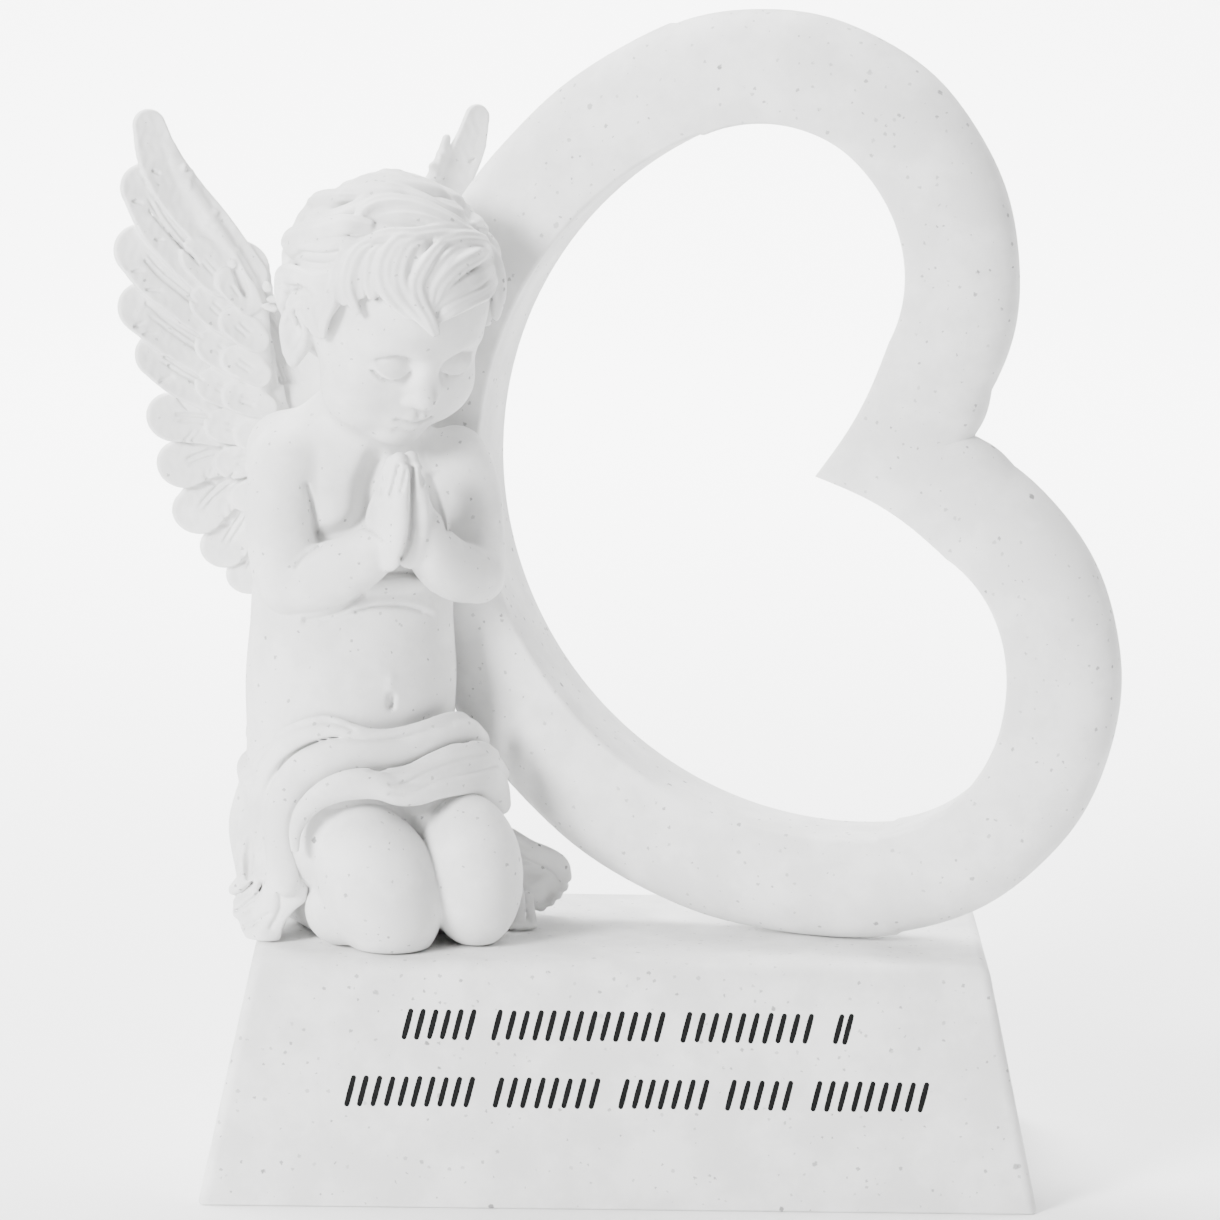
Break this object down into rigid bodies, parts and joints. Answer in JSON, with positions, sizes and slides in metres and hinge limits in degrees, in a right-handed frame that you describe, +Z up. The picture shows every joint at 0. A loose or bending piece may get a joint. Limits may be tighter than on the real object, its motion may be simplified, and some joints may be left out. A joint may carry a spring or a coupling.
{
  "type": "angel memorial plaque",
  "caption": "Kneeling praying cherub beside a leaning open heart ring on a sloped-sided base block with a bare strip for an inscription; white cast stone.",
  "frame": {"origin": "centre of the base block's underside", "axes": "+Z up, +X to the viewer's right facing the inscribed front, +Y towards the back"},
  "size_m": [0.1682, 0.0685, 0.1947],
  "materials": {
    "base_stone": "matt white stone-effect resin with fine grey flecks",
    "ring_stone": "matt white stone-effect resin with fine grey flecks",
    "figure_stone": "matt white stone-effect resin with fine grey flecks",
    "wing_stone": "matt white stone-effect resin with fine grey flecks",
    "inscription_paint": "matt black paint in shallow strokes"
  },
  "bodies": {
    "root": {"base_block": "base_stone", "heart_ring": "ring_stone", "cherub": "figure_stone", "left_wing": "wing_stone", "right_wing": "wing_stone"}
  },
  "joints": []
}
